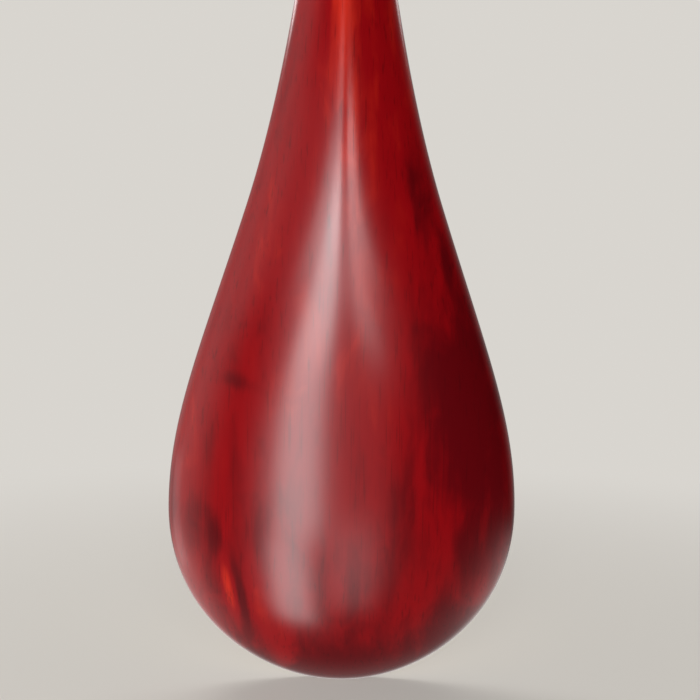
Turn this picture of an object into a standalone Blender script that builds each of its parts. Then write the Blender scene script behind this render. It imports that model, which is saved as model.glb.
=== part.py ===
"""A pear-shaped four-string lute with a carved one-piece back, modelled piece by piece.

Frame: metres, +Z up the neck from the foot of the body, x = 0 on the middle plane.
The soundboard's face lies on y = 0 and looks towards -Y; the carved back swells towards +Y.
At the end set_down() moves everything by a few millimetres, to put the origin on the foot's flat.
The peg-box leans back from the top of the neck. "s" is the distance along its front face from
the neck joint, and "depth" is measured from that face into the wood.
"""

import math

import bmesh
import bpy
from mathutils import Vector

MM = 0.001
GAP = 0.3 * MM  # room left between pieces that touch

# Body outline: half width against height, as three Bezier spans (foot, belly, shoulder to neck).
BELLY_HALF, BELLY_Z = 150 * MM, 149.5 * MM
WAIST_HALF, WAIST_Z = 86.3 * MM, 405.5 * MM
NECK_HALF, NECK_END_Z = 17 * MM, 812 * MM
OUTLINE = (
    ((0, 0), (70.5 * MM, 0), (BELLY_HALF, 53.5 * MM), (BELLY_HALF, BELLY_Z)),
    ((BELLY_HALF, BELLY_Z), (BELLY_HALF, 224 * MM), (125 * MM, 282.4 * MM), (WAIST_HALF, WAIST_Z)),
    ((WAIST_HALF, WAIST_Z), (68 * MM, 463.5 * MM), (38.3 * MM, 578 * MM), (NECK_HALF, NECK_END_Z)),
)
# Side view: depth of the back against height, as two Bezier spans.
BOWL_DEPTH, BOWL_Z, NECK_DEPTH = 47 * MM, 210 * MM, 25.5 * MM
BACK_LINE = (
    ((0, 0), (40 * MM, 0), (BOWL_DEPTH, 75 * MM), (BOWL_DEPTH, BOWL_Z)),
    ((BOWL_DEPTH, BOWL_Z), (BOWL_DEPTH, 330 * MM), (33 * MM, 620 * MM), (NECK_DEPTH, NECK_END_Z)),
)
RIDGE_START_Z, RIDGE_FULL_Z, RIDGE_SHARE = 215 * MM, 450 * MM, 0.30
RIDGE_ROUND = 0.10  # rounding of the ridge, as a share of the half width
FOOT_Y, FOOT_Z = 2.2 * MM, 0.5 * MM  # centre and height of the small flat that the foot stands on

# Hollow and soundboard.
RIM, WALL_SIDE, WALL_BACK = 3 * MM, 11 * MM, 8 * MM
BOARD_THICK = 5 * MM
BOARD_TOP_Z, BOARD_TOP_RISE = 542 * MM, 6 * MM
CHAMBER_LOW_Z, CHAMBER_TOP_Z = 13 * MM, 528 * MM
SOUND_HOLE_Z, SOUND_HOLE_R = 74 * MM, 4.5 * MM

# Strings, ledges and frets.
SCALE = 710 * MM
BRIDGE_EDGE_Z = 90 * MM
NUT_Z = BRIDGE_EDGE_Z + SCALE
NUT_STRING_HEIGHT, BRIDGE_STRING_HEIGHT = 12 * MM, 15.5 * MM
NUT_SPACING, BRIDGE_SPACING = 8.5 * MM, 10.5 * MM
LEDGES, FRETS = 6, 24  # the first ledge is a whole tone above the open note
ACTION_AT_NUT, ACTION_AT_BRIDGE = 1.2 * MM, 5.2 * MM
STRING_RADII = (0.30 * MM, 0.40 * MM, 0.50 * MM, 0.60 * MM)  # first (highest) to fourth

# Peg-box.
HEAD_TILT, HEAD_BEND = math.radians(30), 50 * MM  # final lean, and the length it takes to reach it
HEAD_END = 156 * MM
SLOT_HALF, SLOT_DEPTH, SLOT_FROM, SLOT_TO = 10 * MM, 18 * MM, 6 * MM, 142 * MM
THROAT_HALF, THROAT_DEPTH, THROAT_FROM, THROAT_TO = 13.4 * MM, 5.5 * MM, 3 * MM, 48 * MM
PEG_S = (34 * MM, 64 * MM, 94 * MM, 124 * MM)
PEG_SIDE = (-1, 1, -1, 1)  # handle towards -X or +X
PEG_STRING = (4, 1, 3, 2)  # the string that each peg winds
PEG_COIL_X = (-7 * MM, 7 * MM, -2.6 * MM, 2.6 * MM)
PEG_DEPTH = 10.5 * MM
PEG_TIP, PEG_SHOULDER, PEG_END = 17.6 * MM, 18 * MM, 108 * MM
PEG_TIP_R, PEG_ROOT_R = 3.9 * MM, 4.9 * MM
COIL_TURNS = 5
ORNAMENT_R, ORNAMENT_LOBE, ORNAMENT_RISE = 23 * MM, 0.16, 20.2 * MM


def clear_scene():
    for old in list(bpy.data.objects):
        bpy.data.objects.remove(old)


def finish(name, colour, roughness):
    material = bpy.data.materials.new(name)
    material.use_nodes = True
    shader = material.node_tree.nodes["Principled BSDF"]
    shader.inputs["Base Color"].default_value = (*colour, 1)
    shader.inputs["Roughness"].default_value = roughness
    shader.inputs["Metallic"].default_value = 0.0
    return material


def add_object(name, bm, material=None, place=(0, 0, 0)):
    bmesh.ops.recalc_face_normals(bm, faces=bm.faces)
    mesh = bpy.data.meshes.new(name)
    bm.to_mesh(mesh)
    bm.free()
    mesh.shade_smooth()
    mesh.set_sharp_from_angle(angle=math.radians(30))
    made = bpy.data.objects.new(name, mesh)
    made.location = place
    bpy.context.collection.objects.link(made)
    if material:
        mesh.materials.append(material)
    return made


def cut(target, name, bm):
    cutter = add_object(name, bm)
    cutter.hide_render = True
    cutter.display_type = "WIRE"
    modifier = target.modifiers.new(name, "BOOLEAN")
    modifier.operation = "DIFFERENCE"
    modifier.object = cutter


def join(target, name, bm):
    cut(target, name, bm)
    target.modifiers[name].operation = "UNION"


def mix(a, b, share):
    return a + (b - a) * share


def smooth(share):
    share = min(1.0, max(0.0, share))
    return share * share * (3 - 2 * share)


def bezier(span, t):
    """Point and direction of a Bezier span at t."""
    p0, p1, p2, p3 = (Vector(p) for p in span)
    q = 1 - t
    point = q**3 * p0 + 3 * q * q * t * p1 + 3 * q * t * t * p2 + t**3 * p3
    along = q * q * (p1 - p0) + 2 * q * t * (p2 - p1) + t * t * (p3 - p2)
    return point, along


def at_height(spans, z):
    """The first coordinate of a profile where its second one is z."""
    span = next((s for s in spans if z <= s[3][1]), spans[-1])
    low, high = 0.0, 1.0
    for _ in range(40):
        middle = (low + high) / 2
        low, high = (middle, high) if bezier(span, middle)[0].y < z else (low, middle)
    return bezier(span, low)[0].x


def loft(rings, closed=False):
    """A solid through rings of points, with flat ends, or a loop of rings if closed."""
    bm = bmesh.new()
    loops = [[bm.verts.new(p) for p in ring] for ring in rings]
    if closed:
        loops.append(loops[0])
    for low, high in zip(loops, loops[1:]):
        for k in range(len(low)):
            n = (k + 1) % len(low)
            bm.faces.new((low[k], low[n], high[n], high[k]))
    if not closed:
        bm.faces.new(loops[0])
        bm.faces.new(loops[-1])
    return bm


def box(low, high):
    corners = ((0, 0), (1, 0), (1, 1), (0, 1))
    rings = [
        [(mix(low[0], high[0], i), mix(low[1], high[1], j), z) for i, j in corners]
        for z in (low[2], high[2])
    ]
    return loft(rings)


def turned(profile, steps, lobes=0, lobe_depth=0.0):
    """A solid turned about the X axis through (u, radius) points. Lobes flute the radii over 5.5 mm."""
    rings = []
    for u, radius in profile:
        ring = []
        for k in range(steps):
            a = 2 * math.pi * k / steps
            flute = lobe_depth * (1 - abs(math.cos(lobes * a / 2))) if radius > 5.5 * MM else 0
            r = radius * (1 - flute)
            ring.append((u, r * math.cos(a), r * math.sin(a)))
        rings.append(ring)
    return loft(rings)


def rod(centre, radius, low, high, axis, steps=16):
    """A cylinder along Y (axis 1) or Z (axis 2), from low to high on that axis."""
    rings = []
    for level in (low, high):
        ring = []
        for k in range(steps):
            a = 2 * math.pi * k / steps
            u, v = centre[0] + radius * math.cos(a), centre[1] + radius * math.sin(a)
            ring.append((u, level, v) if axis == 1 else (u, v, level))
        rings.append(ring)
    return loft(rings)


# ---- body ----


def body_half(z):
    return at_height(OUTLINE, z)


def body_depth(z):
    return at_height(BACK_LINE, z)


def back_section(half, depth, ridge, z, steps):
    """A cross-section of the back at height z: an ellipse with some of a rounded tent mixed in."""
    ring = []
    for k in range(steps + 1):
        a = math.pi * k / steps
        t = abs(math.cos(a))
        top = math.hypot(1, RIDGE_ROUND) - RIDGE_ROUND
        tent = 1 - (math.hypot(t, RIDGE_ROUND) - RIDGE_ROUND) / top
        ring.append((half * math.cos(a), depth * mix(math.sin(a), tent, ridge), z))
    return ring


def ridge_at(z):
    return RIDGE_SHARE * smooth((z - RIDGE_START_Z) / (RIDGE_FULL_Z - RIDGE_START_Z))


def chamber_half(z):
    return body_half(z) - WALL_SIDE


def chamber_depth(z):
    return body_depth(z) - WALL_BACK


def board_outline(inset, top_z, steps=12):
    """The body outline moved inwards, closed by a low arch at top_z, as (x, z) points."""
    side = []
    for span in OUTLINE:
        for k in range(steps):
            point, along = bezier(span, k / steps)
            inward = Vector((-along.y, along.x)).normalized()
            point = point + inward * inset
            if point.y < top_z - 4 * MM:
                side.append(point)
    shoulder = body_half(top_z) - inset
    arch_steps = 8
    arch = []
    for k in range(arch_steps + 1):
        a = math.pi * k / arch_steps
        arch.append(Vector((shoulder * math.cos(a), top_z + BOARD_TOP_RISE * math.sin(a))))
    return side + arch + [Vector((-p.x, p.y)) for p in reversed(side[1:])]


def plate(outline, front, back):
    """A flat plate with an (x, z) outline, from y = front to y = back."""
    return loft([[(p.x, y, p.y) for p in outline] for y in (front, back)])


def make_back(material):
    stations = [FOOT_Z] + [NECK_END_Z * (k / 34) ** 2 for k in range(2, 12)]
    low = stations[-1]
    stations += [mix(low, NECK_END_Z, k / 26) for k in range(1, 27)]
    rings = [back_section(body_half(z), body_depth(z), ridge_at(z), z, 22) for z in stations]
    back = add_object("back_shell", loft(rings), material)

    pocket = board_outline(RIM, BOARD_TOP_Z + GAP)
    cut(back, "cut_board_pocket", plate(pocket, -2 * MM, BOARD_THICK + GAP))

    heights = [mix(CHAMBER_LOW_Z, CHAMBER_TOP_Z, (k / 20) ** 1.3) for k in range(21)]
    hollow = []
    for z in heights:
        ring = back_section(chamber_half(z), chamber_depth(z), 0, z, 16)
        front = [(x, -MM, z) for x in (-chamber_half(z), chamber_half(z))]
        hollow.append(ring + front)
    cut(back, "cut_chamber", loft(hollow))

    cut(back, "cut_head_mortise", box((-6 * MM, 6 * MM, 790 * MM), (6 * MM, 17 * MM, 820 * MM)))


def make_soundboard(material):
    outline = board_outline(RIM + GAP, BOARD_TOP_Z)
    board = add_object("soundboard", plate(outline, 0, BOARD_THICK), material)
    hole = rod((0, SOUND_HOLE_Z), SOUND_HOLE_R, -2 * MM, BOARD_THICK + 2 * MM, axis=1)
    cut(board, "cut_sound_hole", hole)


def make_inner_bars(material):
    """Two cross bars glued under the soundboard, and three posts between them and the back."""
    front = BOARD_THICK + 2 * GAP
    bar_height, bar_thick, taper = 14 * MM, 9 * MM, 5 * MM
    for name, z in (("lower_sound_bar", 235 * MM), ("upper_sound_bar", 400 * MM)):
        reach = 0.8 * chamber_half(z)
        heights = ((-1, taper), (-0.7, bar_height), (0.7, bar_height), (1, taper))
        rings = []
        for x, back in ((share * reach, height) for share, height in heights):
            corners = ((front, -0.5), (front, 0.5), (front + back, 0.5), (front + back, -0.5))
            rings.append([(x, y, z + side * bar_thick) for y, side in corners])
        add_object(name, loft(rings), material)

    post_radius = 4 * MM
    posts = (
        ("upper_sound_post", 0, 400 * MM),
        ("left_sound_post", -38 * MM, 235 * MM),
        ("right_sound_post", 38 * MM, 235 * MM),
    )
    for name, x, z in posts:
        half, depth = chamber_half(z), chamber_depth(z)
        outer = (abs(x) + post_radius) / half
        reach = depth * math.sqrt(1 - outer * outer) - 2 * GAP
        post = rod((x, z), post_radius, front + bar_height + GAP, reach, axis=1, steps=12)
        add_object(name, post, material)


# ---- strings, ledges and frets ----


def string_height(z):
    return mix(BRIDGE_STRING_HEIGHT, NUT_STRING_HEIGHT, (z - BRIDGE_EDGE_Z) / SCALE)


def crest_height(z):
    action = mix(ACTION_AT_BRIDGE, ACTION_AT_NUT, (z - BRIDGE_EDGE_Z) / SCALE)
    return string_height(z) - action


def semitone_z(n):
    """Height of the crest that stops the strings n semitones above the open note."""
    return BRIDGE_EDGE_Z + SCALE * 2 ** (-n / 12)


def hipped(z, crest, half, crest_half, above, below, land):
    """A ridge-shaped stop: its base reaches above and below z, and its crest is a narrow land."""
    foot, mid, top = -GAP, -0.45 * crest, -crest
    section = (
        (foot, z + above, half),
        (mid, z + 0.45 * above, mix(half, crest_half, 0.45)),
        (top, z + land / 2, crest_half),
        (top, z - land / 2, crest_half),
        (mid, z - 0.45 * below, mix(half, crest_half, 0.45)),
        (foot, z - below, half),
    )
    return loft([[(side * reach, y, level) for y, level, reach in section] for side in (-1, 1)])


def make_ledges(material):
    for n in range(1, LEDGES + 1):
        z = semitone_z(n + 1)
        half = body_half(z) - 2.5 * MM
        bm = hipped(z, crest_height(z), half, 0.76 * half, 10 * MM, 14 * MM, 1.4 * MM)
        add_object(f"neck_ledge_{n}", bm, material)


def make_frets(material):
    for n in range(1, FRETS + 1):
        z = semitone_z(LEDGES + 1 + n)
        share = (n - 1) / (FRETS - 1)
        half = mix(30 * MM, 25 * MM, share)
        foot = mix(3.4 * MM, 2.3 * MM, share)
        bm = hipped(z, crest_height(z), half, half - 4.5 * MM, foot, foot, 1.2 * MM)
        add_object(f"fret_{n:02d}", bm, material)


def string_x(number, z):
    """Sideways place of a string: the fourth is at -X and the first at +X."""
    place = 2.5 - number
    return place * mix(BRIDGE_SPACING, NUT_SPACING, (z - BRIDGE_EDGE_Z) / SCALE)


NUT_LAND, NUT_THICK, NUT_HALF = 2.5 * MM, 8 * MM, 16.4 * MM


def make_nut(material):
    top = NUT_STRING_HEIGHT + 0.6 * MM
    section = (
        (-GAP, NUT_Z),
        (-top, NUT_Z),
        (-top, NUT_Z + NUT_LAND),
        (-0.55 * top, NUT_Z + NUT_THICK),
        (-GAP, NUT_Z + NUT_THICK),
    )
    nut = add_object("nut", loft([[(x, y, z) for y, z in section] for x in (-NUT_HALF, NUT_HALF)]), material)
    for number, radius in enumerate(STRING_RADII, 1):
        groove = radius + GAP
        x = string_x(number, NUT_Z)
        rings = []
        for z, drop in ((NUT_Z - MM, 0), (NUT_Z + 0.8 * NUT_LAND, 0), (NUT_Z + NUT_THICK + MM, 5 * MM)):
            sides = [math.pi * k / 6 for k in range(7)]
            floor = drop - NUT_STRING_HEIGHT
            low = [(x + groove * math.cos(a), floor + groove * math.sin(a), z) for a in sides]
            rings.append(low + [(x + side * groove, -NUT_STRING_HEIGHT - 2 * MM, z) for side in (-1, 1)])
        cut(nut, f"cut_nut_groove_{number}", loft(rings))


BRIDGE_HALF, BRIDGE_LOW_Z, BRIDGE_TOP_Z = 49 * MM, 56 * MM, 88.2 * MM
BRIDGE_HEIGHT, BRIDGE_END_HEIGHT = 18.5 * MM, 7 * MM
TIE_LOW_Z, TIE_HIGH_Z, TIE_HALF, TIE_FLOOR = 68 * MM, 76 * MM, 23 * MM, 11 * MM


def make_bridge(wood, bone):
    """The string holder: a glued block with a tie channel, and a bone strip on its upper edge."""
    rings = []
    for k in range(17):
        x = mix(-BRIDGE_HALF, BRIDGE_HALF, k / 16)
        drop = smooth((abs(x) - 24 * MM) / (BRIDGE_HALF - 24 * MM))
        height = mix(BRIDGE_HEIGHT, BRIDGE_END_HEIGHT, drop)
        low = BRIDGE_LOW_Z + 7 * MM * drop
        high = BRIDGE_TOP_Z - 4 * MM * drop
        section = (
            (-GAP, low),
            (-GAP, high),
            (-height + 1.5 * MM, high),
            (-height, high - 1.5 * MM),
            (-height, high - 9 * MM),
            (-0.62 * height, mix(low, high, 0.3)),
            (-0.36 * height, low),
        )
        rings.append([(x, y, z) for y, z in section])
    bridge = add_object("bridge", loft(rings), wood)
    channel = box((-TIE_HALF, -25 * MM, TIE_LOW_Z), (TIE_HALF, -TIE_FLOOR, TIE_HIGH_Z))
    cut(bridge, "cut_tie_channel", channel)
    vent = box((-20 * MM, -6 * MM, 66 * MM), (20 * MM, MM, 95 * MM))
    cut(bridge, "cut_sound_vent", vent)

    strip_high = BRIDGE_EDGE_Z
    strip_low = BRIDGE_TOP_Z + GAP
    strip = add_object(
        "bridge_saddle",
        box((-22 * MM, 1.5 * MM - BRIDGE_HEIGHT, strip_low), (22 * MM, -11 * MM, strip_high)),
        bone,
    )
    for number, radius in enumerate(STRING_RADII, 1):
        centre = (string_x(number, BRIDGE_EDGE_Z), -BRIDGE_STRING_HEIGHT)
        hole = radius + 0.35 * MM
        for target, part in ((bridge, "bridge"), (strip, "saddle")):
            drill = rod(centre, hole, TIE_LOW_Z + 2 * MM, strip_high + 5 * MM, axis=2, steps=10)
            cut(target, f"cut_{part}_hole_{number}", drill)


# ---- peg-box ----


def head_point(x, s, depth):
    """A point of the peg-box: s along its front face from the neck joint, depth into the wood."""
    radius = HEAD_BEND / HEAD_TILT
    angle = HEAD_TILT * min(1.0, max(0.0, s / HEAD_BEND))
    rest = max(0.0, s - HEAD_BEND) + min(0.0, s)
    y = radius * (1 - math.cos(angle)) + rest * math.sin(angle)
    z = NECK_END_Z + GAP + radius * math.sin(angle) + rest * math.cos(angle)
    return Vector((x, y + depth * math.cos(angle), z - depth * math.sin(angle)))


def head_sizes(s):
    """Half width, depth and squareness of the peg-box at s."""
    half = mix(NECK_HALF, 15.5 * MM, smooth(s / HEAD_END))
    depth = NECK_DEPTH + 2 * MM * math.sin(math.pi * min(1, s / HEAD_END))
    return half, depth, mix(2.0, 4.5, smooth(s / (45 * MM)))


def head_section(s, steps=14):
    half, depth, square = head_sizes(s)
    ridge = RIDGE_SHARE * (1 - smooth(s / (45 * MM)))
    ring = []
    for k in range(steps + 1):
        a = math.pi * k / steps
        c, t = math.cos(a), abs(math.cos(a))
        top = math.hypot(1, RIDGE_ROUND) - RIDGE_ROUND
        tent = 1 - (math.hypot(t, RIDGE_ROUND) - RIDGE_ROUND) / top
        bow = mix(math.sin(a) ** (2 / square), tent, ridge)
        ring.append(head_point(half * math.copysign(t ** (2 / square), c), s, depth * bow))
    return ring


def head_channel(half, depth, low, high):
    """A cutter of constant width that follows the peg-box's bend from s = low to s = high."""
    rings = []
    for k in range(13):
        s = mix(low, high, k / 12)
        corners = ((-half, -3 * MM), (half, -3 * MM), (half, depth), (-half, depth))
        rings.append([head_point(x, s, d) for x, d in corners])
    return loft(rings)


def peg_centre(n):
    return head_point(0, PEG_S[n], PEG_DEPTH)


def shaft_radius(u):
    return mix(PEG_TIP_R, PEG_ROOT_R, (u + PEG_TIP) / (2 * PEG_TIP))


def make_head(material):
    stations = [HEAD_BEND * k / 6 for k in range(7)]
    stations += [mix(HEAD_BEND, HEAD_END, k / 6) for k in range(1, 7)]
    head = add_object("peg_box", loft([head_section(s) for s in stations]), material)
    tenon = box((-5.7 * MM, 6.3 * MM, 790.4 * MM), (5.7 * MM, 16.7 * MM, 818 * MM))
    join(head, "join_tenon", tenon)
    cut(head, "cut_string_slot", head_channel(SLOT_HALF, SLOT_DEPTH, SLOT_FROM, SLOT_TO))
    cut(head, "cut_throat", head_channel(THROAT_HALF, THROAT_DEPTH, THROAT_FROM, THROAT_TO))
    for n, side in enumerate(PEG_SIDE):
        centre = peg_centre(n)
        ends = [(u, shaft_radius(u) + GAP) for u in (-PEG_TIP - 4 * MM, PEG_TIP + 4 * MM)]
        bore = turned(ends, 20)
        for vert in bore.verts:
            vert.co = Vector((vert.co.x * side, vert.co.y, vert.co.z)) + centre
        cut(head, f"cut_peg_bore_{n + 1}", bore)


def make_ornament(wood, bone):
    """A three-lobed cloud head on top of the peg-box, with a round inlay on its face."""
    centre_s = HEAD_END + GAP + ORNAMENT_RISE
    levels = ((-3 * MM, 0.86), (-1 * MM, 1.0), (13 * MM, 1.0), (16 * MM, 0.86))
    rings = []
    for depth, size in levels:
        ring = []
        for k in range(36):
            a = 2 * math.pi * k / 36
            r = ORNAMENT_R * size * (1 + ORNAMENT_LOBE * math.cos(3 * (a - math.pi / 2)))
            ring.append(head_point(r * math.cos(a), centre_s + r * math.sin(a), depth))
        rings.append(ring)
    add_object("head_ornament", loft(rings), wood)

    disc = []
    for depth, r in ((-3 * MM - GAP, 8 * MM), (-4.2 * MM, 8 * MM), (-4.9 * MM, 6.6 * MM)):
        turn = [2 * math.pi * k / 24 for k in range(24)]
        disc.append([head_point(r * math.cos(a), centre_s + r * math.sin(a), depth) for a in turn])
    add_object("ornament_inlay", loft(disc), bone)


def mirrored(bm, side):
    for vert in bm.verts:
        vert.co.x *= side
    return bm


def make_pegs(wood, bone, cord):
    """Each peg has its origin on its own axis; a button caps its handle and the string coils on its shaft."""
    handle = ((0.0, 6.3), (0.04, 7.0), (0.2, 7.4), (0.5, 9.3), (0.8, 11.6), (0.94, 12.2), (1.0, 11.0))
    cap = ((0.0, 9.6), (1.2, 11.2), (3.2, 11.2), (5.4, 9.6), (7.2, 6.0), (7.8, 2.4))
    for n, side in enumerate(PEG_SIDE):
        label = n + 1
        place = peg_centre(n)
        peg = [(u, shaft_radius(u)) for u in (-PEG_TIP, PEG_TIP)]
        peg += [(mix(PEG_SHOULDER, PEG_END, share), r * MM) for share, r in handle]
        add_object(f"peg_{label}", mirrored(turned(peg, 32, 8, 0.1), side), wood, place)
        dome = [(PEG_END + GAP + u * MM, r * MM) for u, r in cap]
        add_object(f"peg_button_{label}", mirrored(turned(dome, 20), side), bone, place)

        radius = STRING_RADII[PEG_STRING[n] - 1]
        pitch = 2 * radius
        middle = PEG_COIL_X[n]
        inner = shaft_radius(middle * side) + GAP
        low = middle - COIL_TURNS * radius
        rings = []
        for k in range(16):
            a = 2 * math.pi * k / 16
            ridges = []
            for turn in range(COIL_TURNS):
                for share, rise in ((0.1, 1.2), (0.5, 2.0), (0.9, 1.2)):
                    ridges.append((low + (turn + share) * pitch, inner + rise * radius))
            ring = [(low, inner), *ridges, (low + COIL_TURNS * pitch, inner)]
            rings.append([(u, r * math.cos(a), r * math.sin(a)) for u, r in ring])
        add_object(f"string_coil_{label}", loft(rings, closed=True), cord, place)


def string_route(number):
    """Points of a string: tie channel, bridge hole, nut, and over the front of its peg's coil."""
    radius = STRING_RADII[number - 1]
    n = PEG_STRING.index(number)
    low_x, nut_x = string_x(number, BRIDGE_EDGE_Z), string_x(number, NUT_Z)
    route = [Vector((low_x, -BRIDGE_STRING_HEIGHT, z)) for z in (TIE_LOW_Z + 3 * MM, BRIDGE_EDGE_Z)]
    route += [
        Vector((string_x(number, z), -string_height(z), z))
        for z in (mix(BRIDGE_EDGE_Z, NUT_Z, k / 4) for k in range(1, 4))
    ]
    route.append(Vector((nut_x, -NUT_STRING_HEIGHT, NUT_Z)))

    centre = peg_centre(n)
    away = shaft_radius(PEG_COIL_X[n] * PEG_SIDE[n]) + 2 * GAP + 3 * radius
    leave = Vector((nut_x, -NUT_STRING_HEIGHT, NUT_Z + NUT_LAND))
    run = Vector((centre.y - leave.y, centre.z - leave.z))
    heading = math.atan2(run.x, run.y) - math.asin(away / run.length)
    route.append(leave)
    for turn in (0, 12, 24, 36):
        a = heading + math.radians(turn)
        route.append(Vector((PEG_COIL_X[n], centre.y - away * math.cos(a), centre.z + away * math.sin(a))))
    return route


def make_strings(material):
    for number, radius in enumerate(STRING_RADII, 1):
        curve = bpy.data.curves.new(f"string_{number}", "CURVE")
        curve.dimensions = "3D"
        curve.bevel_depth = radius
        curve.bevel_resolution = 2
        curve.use_fill_caps = True
        curve.materials.append(material)
        route = string_route(number)
        spline = curve.splines.new("POLY")
        spline.points.add(len(route) - 1)
        for point, place in zip(spline.points, route):
            point.co = (*place, 1)
        bpy.context.collection.objects.link(bpy.data.objects.new(f"string_{number}", curve))


def set_down():
    for made in bpy.data.objects:
        made.location -= Vector((0, FOOT_Y, FOOT_Z))


def main():
    clear_scene()
    red_wood = finish("red_stained_hardwood", (0.33, 0.012, 0.012), 0.32)
    board_wood = finish("paulownia", (0.62, 0.42, 0.22), 0.55)
    inner_wood = finish("spruce", (0.66, 0.48, 0.28), 0.7)
    dark_wood = finish("dark_hardwood", (0.10, 0.02, 0.015), 0.35)
    bamboo = finish("bamboo", (0.58, 0.40, 0.18), 0.5)
    bone = finish("bone", (0.80, 0.74, 0.60), 0.35)
    cord = finish("nylon_wound_steel", (0.75, 0.73, 0.66), 0.35)
    make_back(red_wood)
    make_soundboard(board_wood)
    make_inner_bars(inner_wood)
    make_ledges(dark_wood)
    make_frets(bamboo)
    make_nut(bone)
    make_bridge(dark_wood, bone)
    make_head(red_wood)
    make_ornament(red_wood, bone)
    make_pegs(dark_wood, bone, cord)
    make_strings(cord)
    set_down()


main()
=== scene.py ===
"""A pear-shaped plucked lute with a carved one-piece back: its finished surfaces and the studio.

Every piece is shaped in bench coordinates: the soundboard's face is y = 0, the round foot would
end at z = 0, and +Z runs up the neck. to_frame() then moves the finished piece onto the CAD frame.
In the peg box, "s" runs along its front face from the neck joint, and "depth" goes into the wood.
"""

import math

import bmesh
import bpy
from mathutils import Matrix, Vector


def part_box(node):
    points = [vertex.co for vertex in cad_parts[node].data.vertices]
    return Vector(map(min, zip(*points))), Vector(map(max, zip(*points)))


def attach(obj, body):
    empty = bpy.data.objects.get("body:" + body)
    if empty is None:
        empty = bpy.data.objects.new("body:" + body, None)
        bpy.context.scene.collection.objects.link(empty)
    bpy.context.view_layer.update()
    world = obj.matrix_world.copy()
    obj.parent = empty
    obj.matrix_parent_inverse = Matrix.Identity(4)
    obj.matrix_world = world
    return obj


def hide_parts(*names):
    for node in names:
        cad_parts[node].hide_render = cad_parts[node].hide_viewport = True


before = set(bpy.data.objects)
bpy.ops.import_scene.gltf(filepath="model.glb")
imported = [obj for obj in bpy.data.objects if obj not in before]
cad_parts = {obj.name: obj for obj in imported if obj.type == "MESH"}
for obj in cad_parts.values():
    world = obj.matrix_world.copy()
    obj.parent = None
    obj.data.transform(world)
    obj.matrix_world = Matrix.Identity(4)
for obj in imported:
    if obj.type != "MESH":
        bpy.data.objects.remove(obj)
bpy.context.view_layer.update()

MM = 0.001
GAP = 0.3 * MM

# Body outline and side view, as Bezier spans of (half width or depth, height).
BELLY_HALF, BELLY_Z = 150 * MM, 149.5 * MM
WAIST_HALF, WAIST_Z = 86.3 * MM, 405.5 * MM
NECK_HALF, NECK_END_Z = 17 * MM, 812 * MM
OUTLINE = (
    ((0, 0), (70.5 * MM, 0), (BELLY_HALF, 53.5 * MM), (BELLY_HALF, BELLY_Z)),
    ((BELLY_HALF, BELLY_Z), (BELLY_HALF, 224 * MM), (125 * MM, 282.4 * MM), (WAIST_HALF, WAIST_Z)),
    ((WAIST_HALF, WAIST_Z), (68 * MM, 463.5 * MM), (38.3 * MM, 578 * MM), (NECK_HALF, NECK_END_Z)),
)
BOWL_DEPTH, BOWL_Z, NECK_DEPTH = 47 * MM, 210 * MM, 25.5 * MM
BACK_LINE = (
    ((0, 0), (40 * MM, 0), (BOWL_DEPTH, 75 * MM), (BOWL_DEPTH, BOWL_Z)),
    ((BOWL_DEPTH, BOWL_Z), (BOWL_DEPTH, 330 * MM), (33 * MM, 620 * MM), (NECK_DEPTH, NECK_END_Z)),
)
RIDGE_START_Z, RIDGE_FULL_Z, RIDGE_SHARE, RIDGE_ROUND = 215 * MM, 450 * MM, 0.30, 0.10
FOOT_Z = 0.5 * MM
RIM, RIM_ROUND, WALL_SIDE, WALL_BACK = 3 * MM, 1.2 * MM, 11 * MM, 8 * MM
CHAMBER_LOW_Z, CHAMBER_TOP_Z = 13 * MM, 528 * MM
BOARD_THICK, BOARD_TOP_Z, BOARD_TOP_RISE = 5 * MM, 542 * MM, 6 * MM
SOUND_HOLE_Z, SOUND_HOLE_R = 74 * MM, 4.5 * MM

# Strings, ledges and frets.
SCALE, BRIDGE_EDGE_Z = 710 * MM, 90 * MM
NUT_Z = BRIDGE_EDGE_Z + SCALE
NUT_STRING_HEIGHT, BRIDGE_STRING_HEIGHT = 12 * MM, 15.5 * MM
NUT_SPACING, BRIDGE_SPACING = 8.5 * MM, 10.5 * MM
LEDGES, FRETS = 6, 24
LEDGE_SEMITONE, LEDGE_LAND, LEDGE_TOP, LEDGE_TAPER = 2, 0.7 * MM, 0.895, 0.76
ACTION_AT_NUT, ACTION_AT_BRIDGE = 1.2 * MM, 5.2 * MM
STRING_RADII = (0.30 * MM, 0.40 * MM, 0.50 * MM, 0.60 * MM)
NUT_LAND, NUT_THICK, NUT_HALF = 2.5 * MM, 8 * MM, 16.4 * MM
BRIDGE_HALF, BRIDGE_LOW_Z, BRIDGE_TOP_Z = 49 * MM, 56 * MM, 88.2 * MM
BRIDGE_HEIGHT, BRIDGE_END_HEIGHT, BRIDGE_FLAT_HALF, BRIDGE_ROUND = 18.5 * MM, 7 * MM, 24 * MM, 1.5 * MM
TIE_LOW_Z, TIE_HIGH_Z, TIE_HALF, TIE_FLOOR = 68 * MM, 76 * MM, 23 * MM, 11 * MM

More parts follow.
